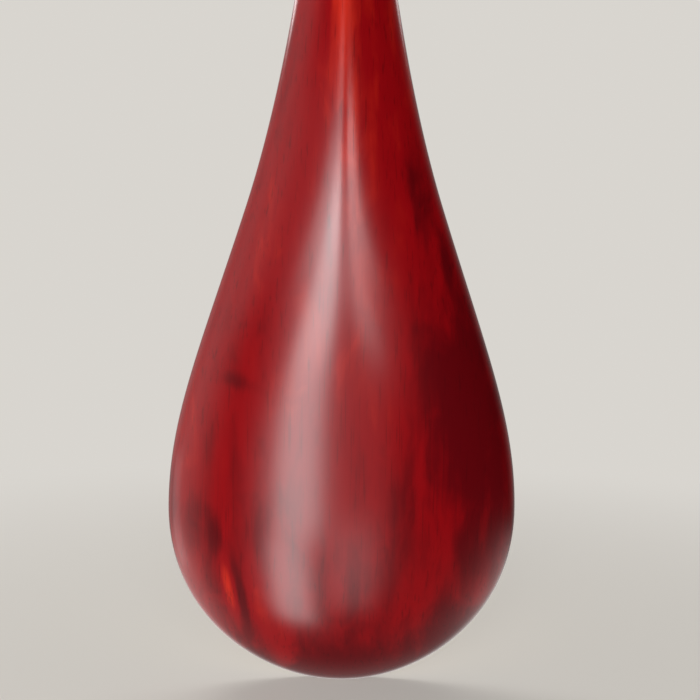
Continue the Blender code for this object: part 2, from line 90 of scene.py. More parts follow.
# Peg box and pegs.
HEAD_TILT, HEAD_BEND, HEAD_END = math.radians(30), 50 * MM, 156 * MM
HEAD_END_HALF, HEAD_SWELL, HEAD_BLEND = 15.5 * MM, 2 * MM, 45 * MM
HEAD_CLOSE_LENGTH, HEAD_CLOSE_DROP = 15 * MM, 9.5 * MM
TENON_HALF, TENON_FRONT, TENON_BACK = 6 * MM, 6 * MM, 17 * MM
MORTISE_FLOOR_Z, TENON_END_Z = 790 * MM, 790.4 * MM
SLOT_HALF, SLOT_DEPTH, SLOT_FROM, SLOT_TO = 10 * MM, 18 * MM, 6 * MM, 142 * MM
THROAT_HALF, THROAT_DEPTH, THROAT_FROM, THROAT_TO = 13.4 * MM, 5.5 * MM, 3 * MM, 48 * MM
PEG_S, PEG_DEPTH = (34 * MM, 64 * MM, 94 * MM, 124 * MM), 10.5 * MM
PEG_SIDE, PEG_STRING = (-1, 1, -1, 1), (4, 1, 3, 2)
PEG_COIL_X = (-7 * MM, 7 * MM, -2.6 * MM, 2.6 * MM)
PEG_TIP, PEG_SHOULDER, PEG_END = 17.6 * MM, 18 * MM, 108 * MM
PEG_TIP_R, PEG_ROOT_R, BORE_GAP = 3.9 * MM, 4.9 * MM, 0.15 * MM
COIL_TURNS, KNOT_TURNS = 5, 3
ORNAMENT_R, ORNAMENT_LOBE, ORNAMENT_RISE = 23 * MM, 0.16, 20.2 * MM
FLUTES, FLUTE_DEPTH = 8.0, 0.12

BODY = "lute"
BENCH_TO_FRAME = Vector((0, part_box("soundboard")[0].y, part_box("nut")[0].z - NUT_Z))


# ---- shaping tools ----


def mix(a, b, share):
    return a + (b - a) * share


def smooth(share):
    share = min(1.0, max(0.0, share))
    return share * share * (3 - 2 * share)


def half_turn(steps):
    """Angles from 0 to a half turn, both ends included."""
    return [math.pi * k / steps for k in range(steps + 1)]


def full_turn(steps):
    """Angles once round, without the repeated end."""
    return [2 * math.pi * k / steps for k in range(steps)]


def bezier(span, t):
    """Point and direction of a Bezier span at t."""
    p0, p1, p2, p3 = (Vector(p) for p in span)
    q = 1 - t
    point = q**3 * p0 + 3 * q * q * t * p1 + 3 * q * t * t * p2 + t**3 * p3
    along = q * q * (p1 - p0) + 2 * q * t * (p2 - p1) + t * t * (p3 - p2)
    return point, along


def at_height(spans, z):
    """The first coordinate of a profile where its second one is z."""
    span = next((s for s in spans if z <= s[3][1]), spans[-1])
    low, high = 0.0, 1.0
    for _ in range(40):
        middle = (low + high) / 2
        low, high = (middle, high) if bezier(span, middle)[0].y < z else (low, middle)
    return bezier(span, low)[0].x


def loft(rings):
    """A solid through rings of points, with flat ends."""
    bm = bmesh.new()
    loops = [[bm.verts.new(p) for p in ring] for ring in rings]
    for low, high in zip(loops, loops[1:]):
        for k in range(len(low)):
            n = (k + 1) % len(low)
            bm.faces.new((low[k], low[n], high[n], high[k]))
    bm.faces.new(loops[0])
    bm.faces.new(loops[-1])
    bmesh.ops.recalc_face_normals(bm, faces=bm.faces)
    return bm


def block(low, high):
    corners = ((0, 0), (1, 0), (1, 1), (0, 1))
    return loft([
        [(mix(low[0], high[0], i), mix(low[1], high[1], j), z) for i, j in corners]
        for z in (low[2], high[2])
    ])


def rod(centre, radius, low, high, axis, steps):
    """A cylinder along Y (axis 1) or Z (axis 2), from low to high on that axis."""
    circle = [
        (centre[0] + radius * math.cos(a), centre[1] + radius * math.sin(a)) for a in full_turn(steps)
    ]
    return loft([
        [(u, level, v) if axis == 1 else (u, v, level) for u, v in circle] for level in (low, high)
    ])


def turned(profile, steps):
    """A solid turned about X through (u, radius) points."""
    circle = [(math.cos(a), math.sin(a)) for a in full_turn(steps)]
    return loft([[(u, radius * y, radius * z) for y, z in circle] for u, radius in profile])


def in_scene(name, data):
    """A new object in the scene that carries a mesh, a light or a camera."""
    made = bpy.data.objects.new(name, data)
    bpy.context.collection.objects.link(made)
    return made


def bench_object(bm):
    """A solid as an object, to work on or to cut with."""
    mesh = bpy.data.meshes.new("bench_work")
    bm.to_mesh(mesh)
    bm.free()
    return in_scene("bench_work", mesh)


def evaluated_mesh(made):
    depsgraph = bpy.context.evaluated_depsgraph_get()
    return bpy.data.meshes.new_from_object(made.evaluated_get(depsgraph))


def worked(bm, cuts=(), joins=(), bevel=0.0, bevel_angle=40):
    """The solid after its cuts and joins, with its edges eased, as a plain mesh."""
    blank = bench_object(bm)
    tools = []
    for operation, solids in (("UNION", joins), ("DIFFERENCE", cuts)):
        for solid in solids:
            tool = bench_object(solid)
            tool.hide_render = True
            tools.append(tool)
            modifier = blank.modifiers.new("work", "BOOLEAN")
            modifier.operation = operation
            modifier.solver = "MANIFOLD"
            modifier.object = tool
    if bevel:
        modifier = blank.modifiers.new("ease", "BEVEL")
        modifier.width = bevel
        modifier.segments = 3
        modifier.limit_method = "ANGLE"
        modifier.angle_limit = math.radians(bevel_angle)
    mesh = evaluated_mesh(blank)
    for used in (blank, *tools):
        bpy.data.objects.remove(used)
    return mesh


def to_frame(name, mesh, material, slot, body=BODY, nodes=(), sharp=40):
    """Moves a finished mesh from the bench onto the CAD frame as a piece that rides on a body."""
    mesh.name = name
    mesh.transform(Matrix.Translation(BENCH_TO_FRAME))
    mesh.materials.clear()
    mesh.materials.append(material)
    mesh.shade_smooth()
    mesh.set_sharp_from_angle(angle=math.radians(sharp))
    piece = in_scene(name, mesh)
    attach(piece, body)
    if nodes:
        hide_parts(*nodes)


# ---- node trees ----


class Nodes:
    """A node tree under construction, with short calls for its nodes."""

    def __init__(self, tree):
        self.tree = tree

    def link(self, source, target):
        self.tree.links.new(source, target)

    def node(self, kind, settings=(), **sockets):
        """A node with its properties set and its sockets filled or linked, by name or by place."""
        made = self.tree.nodes.new(kind)
        for key, value in dict(settings).items():
            setattr(made, key, value)
        for label, value in sockets.items():
            by_place = label[0] == "i" and label[1:].isdigit()
            socket = made.inputs[int(label[1:]) if by_place else label.replace("_", " ")]
            if isinstance(value, bpy.types.NodeSocket):
                self.link(value, socket)
            else:
                socket.default_value = value
        return made

    def math(self, operation, a, b=0.0):
        return self.node("ShaderNodeMath", {"operation": operation}, i0=a, i1=b).outputs[0]

    def times(self, a, b):
        return self.math("MULTIPLY", a, b)

    def length(self, vector):
        settings = {"operation": "LENGTH"}
        return self.node("ShaderNodeVectorMath", settings, i0=vector).outputs["Value"]

    def split(self, vector):
        """The X, Y and Z of a vector."""
        return self.node("ShaderNodeSeparateXYZ", i0=vector).outputs

    def spread(self, value, low, high, to_low=0.0, to_high=1.0):
        """Maps low..high of a pattern onto to_low..to_high, eased at both ends."""
        return self.node(
            "ShaderNodeMapRange", {"interpolation_type": "SMOOTHSTEP"}, Value=value,
            From_Min=low, From_Max=high, To_Min=to_low, To_Max=to_high,
        ).outputs["Result"]

    def surface(self, share, first, second, end):
        """Ends the tree in two shaders that are mixed by a share."""
        mixed = self.node("ShaderNodeMixShader", i0=share, i1=first.outputs[0], i2=second.outputs[0])
        self.link(mixed.outputs[0], self.tree.nodes[end].inputs["Surface"])


# ---- finishes ----


class Finish(Nodes):
    """A material under construction: its shader, and the patterns that feed it."""

    def __init__(self, name, roughness, **sockets):
        self.material = bpy.data.materials.new(name)
        self.material.use_nodes = True
        super().__init__(self.material.node_tree)
        self.shader = self.tree.nodes["Principled BSDF"]
        self.shader.inputs["Roughness"].default_value = roughness
        for label, value in sockets.items():
            self.shader.inputs[label.replace("_", " ")].default_value = value
        self.coordinates = self.tree.nodes.new("ShaderNodeTexCoord").outputs["Object"]

    def stretched(self, scale, shift=(0, 0, 0)):
        """Object coordinates scaled per axis: small numbers stretch the pattern."""
        return self.node(
            "ShaderNodeMapping", Vector=self.coordinates, Location=shift, Scale=scale
        ).outputs["Vector"]

    def noise(self, scale, detail=3.0, roughness=0.5, distortion=0.0, shift=(0, 0, 0)):
        """Noise, drawn out along the axes that have a small scale."""
        return self.node(
            "ShaderNodeTexNoise", Vector=self.stretched(scale, shift), Scale=1.0, Detail=detail,
            Roughness=roughness, Distortion=distortion,
        ).outputs["Fac"]

    def blend(self, share, first, second):
        """Two colours mixed by a share; each is a tuple or the output of another node."""
        first, second = ((*c, 1) if isinstance(c, tuple) else c for c in (first, second))
        settings = {"data_type": "RGBA"}
        return self.node("ShaderNodeMix", settings, i0=share, i6=first, i7=second).outputs[2]

    def patch(self, x, z, reach_x, reach_z, lean):
        """1 at a bench point of the back, falling to 0 at its reach; lean turns it, in degrees."""
        mapping = self.node(
            "ShaderNodeMapping", {"vector_type": "TEXTURE"}, Vector=self.coordinates,
            Location=Vector((x, STAIN_AND_SHADE_Y, z)) + BENCH_TO_FRAME,
            Rotation=(0, math.radians(lean), 0), Scale=(reach_x, STAIN_AND_SHADE_REACH_Y, reach_z),
        )
        return self.spread(self.length(mapping.outputs[0]), 0.0, 1.0, 1.0, 0.0)

    def colour(self, value):
        self.link(value, self.shader.inputs["Base Color"])

    def roughness(self, value):
        self.link(value, self.shader.inputs["Roughness"])

    def bump(self, height, distance, strength):
        node = self.node("ShaderNodeBump", Height=height, Distance=distance, Strength=strength)
        self.link(node.outputs["Normal"], self.shader.inputs["Normal"])


# Stain wiped on the back, with painted shade towards its foot: x, z and the reach across and along in
# mm, the lean in degrees, a weight.
STAIN_AND_SHADE_Y, STAIN_AND_SHADE_REACH_Y = 30 * MM, 600 * MM
STAIN_AND_SHADE = (
    ((0, 0, 500, 360), 0, -0.30),  # painted shade: the bowl is painted darker towards its foot, where it turns down away from the light
    ((0, 0, 220, 75), 0, -0.24),
    ((-25, 14, 60, 36), 0, -0.16),
    ((0, 620, 16, 230), 0, 0.42),  # it is rubbed thin along the neck's spine
    ((-8, 490, 9, 110), 0, 0.14),
    ((-4, 430, 12, 110), 0, 0.20),
    ((18, 560, 7, 90), 0, -0.22),  # with heavier bands beside the spine
    ((44, 525, 24, 120), -6, -0.22),
    ((12, 375, 7, 95), 2, -0.26),
    ((74, 290, 46, 75), -12, -0.10),  # an arc of heavier stain crosses the +X side
    ((84, 257, 24, 11), -20, -0.24),
    ((107, 212, 13, 52), -4, -0.16),
    ((-106, 235, 54, 185), 12, -0.62),  # it is heavy all along the -X side
    ((-84, 410, 34, 170), 14, -0.26),
    ((-61, 425, 15, 100), 10, -0.34),
    ((-75, 372, 9, 42), 8, 0.20),
    ((-85, 362, 8, 42), 10, -0.30),
    ((-58, 408, 5, 46), 6, -0.18),
    ((-62, 285, 13, 46), 4, -0.14),
    ((-74, 186, 10, 40), 0, -0.26),
    ((-98, 126, 10, 24), 0, -0.26),
    ((-126, 132, 9, 28), 0, -0.24),
    ((-47, 160, 23, 82), 0, -0.25),
    ((-32, 100, 20, 70), 0, -0.14),
    ((-108, 112, 28, 46), 0, -0.30),
    ((-88, 44, 52, 54), 0, -0.34),
    ((40, 158, 24, 38), 0, -0.14),  # the middle of the bowl changes gently
    ((46, 96, 26, 70), 3, 0.20),
    ((44, 42, 17, 44), 0, 0.36),
    ((3, 205, 8, 60), 0, 0.14),
    ((92, 84, 8, 46), 12, 0.66),  # two bright streaks lie low on the +X side
    ((68, 82, 15, 62), 10, 0.42),
    ((82, 84, 6, 52), 12, -0.26),
    ((103, 128, 11, 34), 12, -0.28),
    ((126, 138, 32, 44), 8, -0.34),
    ((146, 168, 16, 60), 0, -0.22),
)


def red_lacquer():
    """Rosewood-red stain wiped on unevenly along the grain, with painted shade towards the bowl's foot,
    under a satin lacquer.
    """
    wood = Finish(
        "red_stained_lacquer", 0.42, Coat_Weight=1.0, Coat_Roughness=0.2, Coat_IOR=1.5,
        Specular_IOR_Level=0.0,
    )
    clouds = wood.noise((13, 13, 3.4), 4.0, 0.62, 0.5)
    streaks = wood.noise((60, 60, 3.2), 5.0, 0.6, 0.2, shift=(3, 1, 0))
    pores = wood.noise((520, 520, 16), 2.0, 0.55)
    mottle = wood.noise((42, 42, 17), 3.0, 0.55, 0.8, shift=(1, 4, 2))
    tone = wood.spread(clouds, 0.3, 0.7, 0.48, 0.68)
    for pattern in (streaks, mottle):
        tone = wood.math("ADD", tone, wood.spread(pattern, 0.3, 0.7, -0.09, 0.09))
    # The listed patches add the stain, and the painted shade at the bowl's foot, to the tone.
    for place, lean, weight in STAIN_AND_SHADE:
        patch = wood.patch(*(size * MM for size in place), lean)
        tone = wood.math("ADD", tone, wood.times(patch, weight))
    dark, middle, bright = (0.115, 0.0014, 0.0035), (0.28, 0.0022, 0.0045), (0.58, 0.020, 0.008)
    red = wood.blend(wood.spread(tone, 0.0, 0.5), dark, middle)
    red = wood.blend(wood.spread(tone, 0.5, 1.05), red, bright)
    red = wood.blend(wood.spread(pores, 0.56, 0.72, 0.0, 0.35), red, (0.05, 0.002, 0.003))
    wood.colour(red)
    wood.bump(pores, 0.06 * MM, 0.25)
    return wood.material


def paulownia():
    """Paulownia planks: pale wood, narrow late-wood lines that wander a little, open pores."""
    wood = Finish("paulownia_soundboard", 0.5, Coat_Weight=0.25, Coat_Roughness=0.35)
    lines = wood.node(
        "ShaderNodeTexWave", {"wave_type": "BANDS", "bands_direction": "X", "wave_profile": "SAW"},
        Vector=wood.stretched((36, 3, 1.6)), Scale=1.0, Distortion=5.5, Detail=2.5, Detail_Scale=0.35,
    ).outputs["Fac"]
    planks = wood.noise((15, 2, 0.5), 2.0, 0.4, shift=(2, 0, 0))
    fibres = wood.noise((420, 40, 5), 3.0, 0.6, shift=(5, 0, 0))
    pores = wood.noise((900, 90, 26), 2.0)
    tone = wood.noise((7, 1, 3), 2.0)
    colour = wood.blend(wood.spread(tone, 0.3, 0.7), (0.60, 0.41, 0.22), (0.70, 0.51, 0.30))
    for pattern, low, high, most, shade in (
        (planks, 0.45, 0.62, 0.45, (0.47, 0.28, 0.13)),
        (lines, 0.6, 1.0, 0.5, (0.37, 0.20, 0.085)),
        (fibres, 0.5, 0.7, 0.35, (0.42, 0.25, 0.11)),
        (pores, 0.6, 0.75, 0.4, (0.22, 0.12, 0.05)),
    ):
        colour = wood.blend(wood.spread(pattern, low, high, 0.0, most), colour, shade)
    wood.colour(colour)
    wood.roughness(wood.spread(lines, 0.4, 1.0, 0.44, 0.58))
    wood.bump(fibres, 0.08 * MM, 0.3)
    return wood.material


def grained(name, light, dark, roughness, coat=0.0, skin=None):
    """A fine-grained wood or bamboo with its fibres along X; skin colours its crest."""
    wood = Finish(name, roughness, Coat_Weight=coat, Coat_Roughness=0.2)
    fibres = wood.noise((18, 420, 420), 3.0, 0.6)
    figure = wood.noise((5, 60, 60), 3.0, 0.5, 0.4)
    colour = wood.blend(wood.spread(figure, 0.35, 0.68), light, dark)
    shade = tuple(c * 0.45 for c in dark)
    colour = wood.blend(wood.spread(fibres, 0.52, 0.7, 0.0, 0.6), colour, shade)
    if skin:
        height = wood.split(wood.coordinates)["Y"]
        skin_starts, skin_full = (BENCH_TO_FRAME.y - rise * MM for rise in (7.5, 9.5))
        colour = wood.blend(wood.spread(height, skin_starts, skin_full), colour, skin)
    wood.colour(colour)
    wood.roughness(wood.spread(fibres, 0.3, 0.7, roughness * 0.85, roughness * 1.15))
    wood.bump(fibres, 0.08 * MM, 0.3)
    return wood.material


def bone():
    """Polished bone: warm white, faint tubules and a yellowing in the low places."""
    ivory = Finish(
        "polished_bone", 0.28, Coat_Weight=0.4, Coat_Roughness=0.12, Subsurface_Weight=0.15,
        Subsurface_Radius=(0.004, 0.003, 0.0015), Subsurface_Scale=0.5,
    )
    cloud = ivory.noise((120, 120, 60))
    tubules = ivory.noise((200, 1500, 1500), 2.0)
    colour = ivory.blend(ivory.spread(cloud, 0.3, 0.7), (0.78, 0.70, 0.52), (0.86, 0.80, 0.66))
    colour = ivory.blend(ivory.spread(tubules, 0.58, 0.72, 0.0, 0.35), colour, (0.55, 0.43, 0.27))
    ivory.colour(colour)
    ivory.roughness(ivory.spread(cloud, 0.3, 0.7, 0.22, 0.36))
    ivory.bump(tubules, 0.03 * MM, 0.2)
    return ivory.material


def wound_wire():
    """Flat nylon winding over steel, with fine rings across the string."""
    wire = Finish("wound_string_wire", 0.33, Metallic=0.65)
    rings = wire.node(
        "ShaderNodeTexWave", {"wave_type": "BANDS", "bands_direction": "Z"},
        Vector=wire.coordinates, Scale=900.0,
    )
    wear = wire.noise((300, 300, 25))
    wire.colour(wire.blend(wire.spread(wear, 0.4, 0.7), (0.80, 0.78, 0.72), (0.55, 0.52, 0.45)))
    wire.roughness(wire.spread(wear, 0.35, 0.7, 0.26, 0.42))
    wire.bump(rings.outputs["Fac"], 0.04 * MM, 0.5)
    return wire.material


# ---- shapes by rule ----


class Pattern(Nodes):
    """A Geometry Nodes tree under construction, with named inputs."""

    def __init__(self, name, **inputs):
        super().__init__(bpy.data.node_groups.new(name, "GeometryNodeTree"))
        self.given = {}
        sockets = self.tree.interface
        for label, value in inputs.items():
            kind = "NodeSocket" + type(value).__name__.capitalize()
            socket = sockets.new_socket(label, in_out="INPUT", socket_type=kind)
            self.given[socket.identifier] = value
        sockets.new_socket("Geometry", in_out="OUTPUT", socket_type="NodeSocketGeometry")
        self.source = self.tree.nodes.new("NodeGroupInput")

    def input(self, label):
        return self.source.outputs[label]

    def object(self, label):
        """The geometry of an object that is one of the inputs."""
        return self.node("GeometryNodeObjectInfo", Object=self.input(label)).outputs["Geometry"]

    def position(self):
        return self.split(self.node("GeometryNodeInputPosition").outputs[0])

    def mixed(self, low, high, share):
        return self.math("ADD", low, self.times(self.math("SUBTRACT", high, low), share))

    def vector(self, x=0.0, y=0.0, z=0.0):
        return self.node("ShaderNodeCombineXYZ", i0=x, i1=y, i2=z).outputs[0]

    def tube(self, line, steps):
        """A closed round tube of the input radius along a line."""
        section = self.node(
            "GeometryNodeCurvePrimitiveCircle", Resolution=steps, Radius=self.input("Wire_radius")
        )
        return self.node(
            "GeometryNodeCurveToMesh", Curve=line, Profile_Curve=section.outputs[0], Fill_Caps=True
        ).outputs[0]

    def mesh(self, geometry, material_label):
        """Ends the tree in real geometry with its material, and returns it as a plain mesh."""
        real = self.node("GeometryNodeRealizeInstances", Geometry=geometry).outputs[0]
        finished = self.node(
            "GeometryNodeSetMaterial", Geometry=real, Material=self.input(material_label)
        ).outputs[0]
        self.link(finished, self.tree.nodes.new("NodeGroupOutput").inputs[0])
        holder = bench_object(bmesh.new())
        modifier = holder.modifiers.new(self.tree.name, "NODES")
        modifier.node_group = self.tree
        for identifier, value in self.given.items():
            modifier[identifier] = value
        mesh = evaluated_mesh(holder)
        bpy.data.objects.remove(holder)
        return mesh


def solid_of(mesh):
    """A mesh taken back to the bench as a solid, for more work."""
    bm = bmesh.new()
    bm.from_mesh(mesh)
    bpy.data.meshes.remove(mesh)
    return bm


# ---- body ----


def body_half(z):
    return at_height(OUTLINE, z)


def body_depth(z):
    return at_height(BACK_LINE, z)


def back_section(half, depth, z, steps=96):
    """A closed section of the back before its spine is raised: round rim corners, bowed outside."""
    corner = min(RIM_ROUND, 0.2 * depth)
    bow = half_turn(steps)
    ring = [(half * math.cos(a), corner + (depth - corner) * math.sin(a), z) for a in bow]
    eased = []
    for a in half_turn(6)[1:4]:
        eased.append((half - corner * (1 - math.cos(a)), corner * (1 - math.sin(a)), z))
    return ring + [(-x, y, z) for x, y, z in eased] + eased[::-1]


SECTION_SIZES = ("half_width", "depth")


def back_blank(heights):
    """The plain bowed back; every point keeps its section's sizes for the spine's rule."""
    sizes = [(body_half(z), body_depth(z)) for z in heights]
    rings = [back_section(half, depth, z) for (half, depth), z in zip(sizes, heights)]
    bm = loft(rings)
    layers = [bm.verts.layers.float.new(name) for name in SECTION_SIZES]
    for place, vert in enumerate(bm.verts):
        for layer, size in zip(layers, sizes[place // len(rings[0])]):
            vert[layer] = size
    return bench_object(bm)


def raise_spine(blank, lacquer):
    """Draws the bowed sections up into a rounded tent along the neck, so that a low spine grows."""
    rule = Pattern(
        "spine_rule", Blank=blank, Spine_starts=RIDGE_START_Z, Spine_full=RIDGE_FULL_Z,
        Spine_share=RIDGE_SHARE, Spine_round=RIDGE_ROUND, Rim_round=RIM_ROUND, Lacquer=lacquer,
    )
    x, y, z = rule.position()
    half, depth = (
        rule.node("GeometryNodeInputNamedAttribute", Name=name).outputs[0] for name in SECTION_SIZES
    )
    rounding = rule.input("Spine_round")

    def softened(share):
        squares = (rule.times(number, number) for number in (share, rounding))
        return rule.math("SUBTRACT", rule.math("SQRT", rule.math("ADD", *squares)), rounding)

    corner = rule.math("MINIMUM", rule.input("Rim_round"), rule.times(depth, 0.2))
    room = rule.math("SUBTRACT", depth, corner)
    bow = rule.math("DIVIDE", rule.math("SUBTRACT", y, corner), room)
    out = rule.math("DIVIDE", rule.math("ABSOLUTE", x), half)
    tent = rule.math("SUBTRACT", 1.0, rule.math("DIVIDE", softened(out), softened(1.0)))
    starts, full, share = (rule.input("Spine_" + part) for part in ("starts", "full", "share"))
    along = rule.spread(z, starts, full, 0.0, share)
    raised = rule.math("ADD", corner, rule.times(room, rule.mixed(bow, tent, along)))
    outside = rule.node("FunctionNodeCompare", {"operation": "GREATER_EQUAL"}, i0=y, i1=corner)
    shaped = rule.node(
        "GeometryNodeSetPosition", Geometry=rule.object("Blank"), Selection=outside.outputs[0],
        Position=rule.vector(x, raised, z),
    )
    mesh = rule.mesh(shaped.outputs[0], "Lacquer")
    for name in SECTION_SIZES:
        mesh.attributes.remove(mesh.attributes[name])
    return mesh


def board_outline(inset, top_z, steps=36):
    """The body outline moved inwards, closed by a low arch at top_z, as (x, z) points."""
    side = []
    for span in OUTLINE:
        for k in range(steps):
            point, along = bezier(span, k / steps)
            point = point + Vector((-along.y, along.x)).normalized() * inset
            if point.y < top_z - 3 * MM:
                side.append(point)
    shoulder = body_half(top_z) - inset
    arch = [
        Vector((shoulder * math.cos(a), top_z + BOARD_TOP_RISE * math.sin(a))) for a in half_turn(24)
    ]
    return side + arch + [Vector((-p.x, p.y)) for p in reversed(side[1:])]


def plate(outline, front, back):
    return loft([[(p.x, y, p.y) for p in outline] for y in (front, back)])


def chamber(stations=40, steps=48):
    """The hollow carved out of the back, open towards the soundboard."""
    rings = []
    for k in range(stations + 1):
        z = mix(CHAMBER_LOW_Z, CHAMBER_TOP_Z, (k / stations) ** 1.3)
        half, depth = body_half(z) - WALL_SIDE, body_depth(z) - WALL_BACK
        ring = [(half * math.cos(a), depth * math.sin(a), z) for a in half_turn(steps)]
        rings.append(ring + [(x, -MM, z) for x in (-half, half)])
    return loft(rings)


def make_back(lacquer):
    """Back and neck in one piece, with the pocket that the soundboard lies in."""
    spans = zip(OUTLINE, (44, 36, 56))
    heights = [bezier(span, k / steps)[0].y for span, steps in spans for k in range(steps)]
    heights = [FOOT_Z] + [z for z in heights if z > 3 * FOOT_Z] + [NECK_END_Z]
    pocket = plate(board_outline(RIM, BOARD_TOP_Z + GAP), -2 * MM, BOARD_THICK + GAP)
    mortise = block(
        (-TENON_HALF, TENON_FRONT, MORTISE_FLOOR_Z), (TENON_HALF, TENON_BACK, NECK_END_Z + 8 * MM)
    )
    blank = back_blank(heights)
    mesh = worked(solid_of(raise_spine(blank, lacquer)), cuts=[pocket, chamber(), mortise])
    bpy.data.objects.remove(blank)
    to_frame("carved_back", mesh, lacquer, "stained_hardwood", nodes=["back_shell"], sharp=50)


def make_soundboard(wood):
    """A flat plate inside the rim, with a small sound hole that the bridge covers."""
    outline = board_outline(RIM + GAP, BOARD_TOP_Z)
    hole = rod((0, SOUND_HOLE_Z), SOUND_HOLE_R, -2 * MM, BOARD_THICK + 2 * MM, axis=1, steps=48)
    mesh = worked(plate(outline, 0, BOARD_THICK), cuts=[hole], bevel=0.35 * MM, bevel_angle=60)
    to_frame("paulownia_board", mesh, wood, "paulownia_board", nodes=["soundboard"])


# ---- strings, ledges and frets ----


def string_height(z):
    return mix(BRIDGE_STRING_HEIGHT, NUT_STRING_HEIGHT, (z - BRIDGE_EDGE_Z) / SCALE)


def semitone_z(n):
    return BRIDGE_EDGE_Z + SCALE * 2 ** (-n / 12)


def string_x(number, z):
    return (2.5 - number) * mix(BRIDGE_SPACING, NUT_SPACING, (z - BRIDGE_EDGE_Z) / SCALE)


def fret_blank():
    """A strip of unit half length, crest height and foot, with hipped ends and a rounded crest."""
    side = [(0.0, 1.0), (-0.12, 0.97), (-0.45, 0.72), (-0.8, 0.5), (-0.94, 0.36), (-1.0, 0.14)]
    profile = side + [(y, -z) for y, z in reversed(side)]
    rings = []
    for x, rise in ((1.0, 0.1), (0.985, 0.5), (0.955, 0.82), (0.925, 0.95), (0.88, 1.0)):
        rings.append([(x, y * rise, z * mix(0.86, 1, rise)) for y, z in profile])
    return loft([[(-x, y, z) for x, y, z in ring] for ring in rings] + rings[::-1])


def ledge_blank():
    """A wedge of unit half length and crest height: a bowed upper slope and a hollowed lower one."""
    above, below, foot, bow, hollow, steps = 10 * MM, 14 * MM, 0.03, 1.15, 0.62, 10
    shares = [k / steps for k in range(steps + 1)]
    slopes = [(-mix(foot, LEDGE_TOP, t**bow), mix(above, LEDGE_LAND, t)) for t in shares]
    slopes += [(-mix(foot, LEDGE_TOP, t), -mix(below, LEDGE_LAND, t**hollow)) for t in reversed(shares)]
    return loft([[(side * mix(1, LEDGE_TAPER, -y), y, z) for y, z in slopes] for side in (-1, 1)])


def along_the_strings(name, blank, nodes, material, slot, first, count, half, foot, bevel):
    """Copies of a blank, one a semitone, by the equal-tempered rule: stops that shorten the strings."""
    strip = bpy.data.objects.new("blank", worked(blank))
    rule = Pattern(
        "semitone_rule", Strip=strip, Count=count, First_semitone=float(first), Finish=material,
        Scale_length=SCALE, Edge_height=BRIDGE_EDGE_Z, First_half=half[0], Last_half=half[1],
        First_foot=foot[0], Last_foot=foot[1], Crest_at_nut=NUT_STRING_HEIGHT - ACTION_AT_NUT,
        Crest_at_edge=BRIDGE_STRING_HEIGHT - ACTION_AT_BRIDGE,
    )
    index = rule.node("GeometryNodeInputIndex").outputs[0]
    share = rule.math("DIVIDE", index, rule.math("SUBTRACT", rule.input("Count"), 1.0))
    octave = rule.math("DIVIDE", rule.math("ADD", index, rule.input("First_semitone")), -12.0)
    ratio = rule.math("POWER", 2.0, octave)
    stopped = rule.times(ratio, rule.input("Scale_length"))
    place = rule.vector(z=rule.math("ADD", rule.input("Edge_height"), stopped))
    size = rule.vector(*(
        rule.mixed(rule.input(start), rule.input(end), along) for start, end, along in (
            ("First_half", "Last_half", share), ("Crest_at_edge", "Crest_at_nut", ratio),
            ("First_foot", "Last_foot", share),
        )
    ))
    points = rule.node("GeometryNodePoints", Count=rule.input("Count"), Position=place).outputs[0]
    copies = rule.node(
        "GeometryNodeInstanceOnPoints", Points=points, Instance=rule.object("Strip"), Scale=size
    )
    mesh = rule.mesh(copies.outputs[0], "Finish")
    bpy.data.objects.remove(strip)
    mesh = worked(solid_of(mesh), bevel=bevel, bevel_angle=50)
    to_frame(name, mesh, material, slot, nodes=nodes)


def make_stops(dark_wood, bamboo, ivory):
    """Six wooden ledges with crest strips on the neck, and the bamboo frets on the soundboard."""
    half = [body_half(semitone_z(n)) - 2.5 * MM for n in (LEDGE_SEMITONE, LEDGES + 1)]
    ledges = [f"neck_ledge_{n}" for n in range(1, LEDGES + 1)]
    frets = [f"fret_{n:02d}" for n in range(1, FRETS + 1)]
    strip = block((-LEDGE_TAPER, -1.0, -LEDGE_LAND), (LEDGE_TAPER, -LEDGE_TOP, LEDGE_LAND))
    for stops in (
        ("neck_ledges", ledge_blank(), ledges, dark_wood, "dark_hardwood",
         LEDGE_SEMITONE, LEDGES, half, (1.0, 1.0), 0.5 * MM),
        ("ledge_crests", strip, (), ivory, "bone",
         LEDGE_SEMITONE, LEDGES, half, (1.0, 1.0), 0.4 * MM),
        ("bamboo_frets", fret_blank(), frets, bamboo, "bamboo",
         LEDGE_SEMITONE + LEDGES, FRETS, (30 * MM, 25 * MM), (3.4 * MM, 2.3 * MM), 0.25 * MM),
    ):
        along_the_strings(*stops)


def make_nut(ivory):
    """A block of bone with an eased front edge, a sloped back and a groove for each string."""
    top = NUT_STRING_HEIGHT + 0.6 * MM
    section = [(-GAP, 0), (-top + MM, 0), (-top + 0.3 * MM, 0.3 * MM), (-top, MM), (-top, NUT_LAND)]
    section += [(-0.55 * top, NUT_THICK), (-GAP, NUT_THICK)]
    blank = loft([[(x, y, NUT_Z + rise) for y, rise in section] for x in (-NUT_HALF, NUT_HALF)])
    grooves = []
    for number, radius in enumerate(STRING_RADII, 1):
        groove = radius + 0.1 * MM
        x = string_x(number, NUT_Z)
        rings = []
        for rise, drop in ((-MM, 0), (0.8 * NUT_LAND, 0), (NUT_THICK + MM, 5 * MM)):
            floor, above, z = drop - NUT_STRING_HEIGHT, -NUT_STRING_HEIGHT - 2 * MM, NUT_Z + rise
            low = [(x + groove * math.cos(a), floor + groove * math.sin(a), z) for a in half_turn(8)]
            rings.append(low + [(x + side * groove, above, z) for side in (-1, 1)])
        grooves.append(loft(rings))
    mesh = worked(blank, cuts=grooves, bevel=0.15 * MM, bevel_angle=50)
    to_frame("bone_nut", mesh, ivory, "bone", nodes=["nut"])


